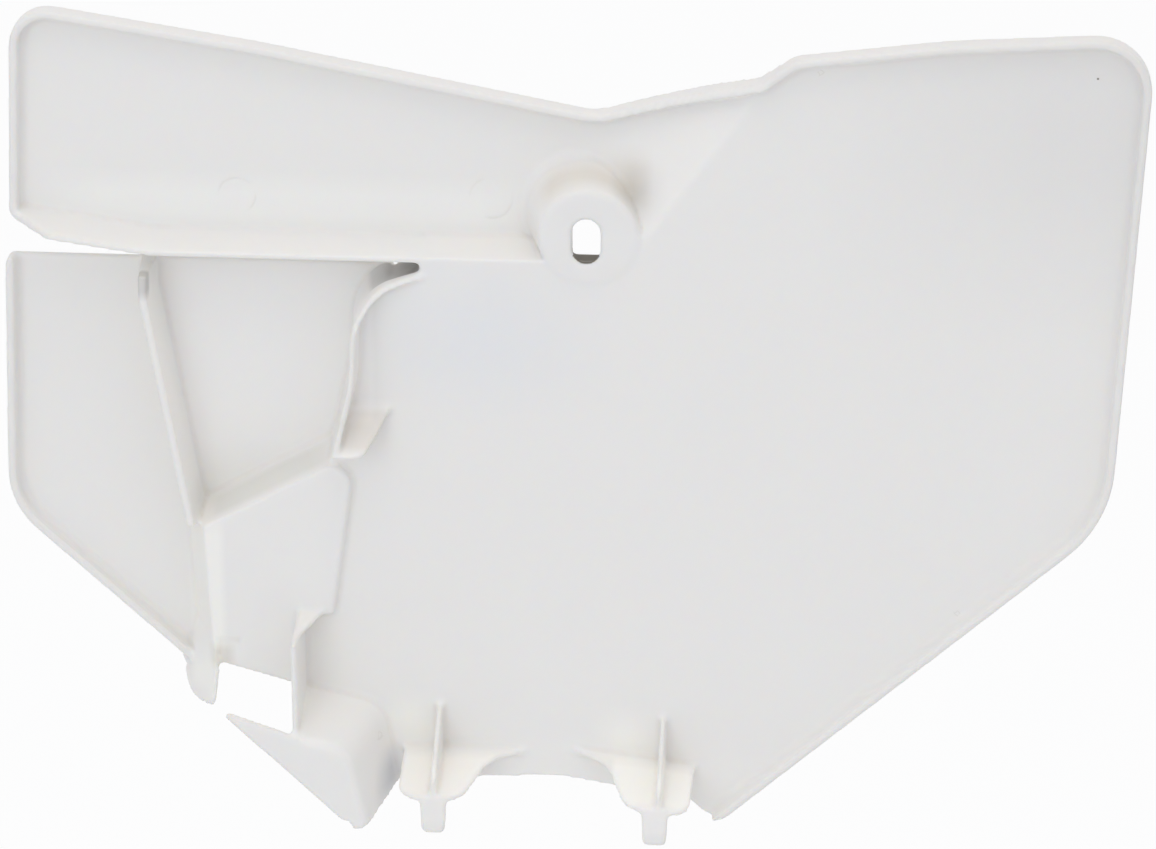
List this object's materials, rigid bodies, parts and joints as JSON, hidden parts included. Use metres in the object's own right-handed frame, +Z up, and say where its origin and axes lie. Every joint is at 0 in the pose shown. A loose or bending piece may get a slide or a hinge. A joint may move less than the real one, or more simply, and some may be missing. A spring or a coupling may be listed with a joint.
{
  "type": "racing number board",
  "caption": "One-piece moulded side number board: a flat number field with a rimmed arm and lobe, a slotted screw seat, stiffening ribs, and tongues and a hook on its lower edge.",
  "frame": {"origin": "centre of the screw slot, level with the number field's inner face", "axes": "+X along the board away from the arm, +Z up as fitted, -Y out of the inner face towards the bike"},
  "size_m": [0.4178, 0.0532, 0.3151],
  "materials": {
    "moulding": "satin white polypropylene"
  },
  "bodies": {
    "root": {"number_board": "moulding"}
  },
  "joints": []
}
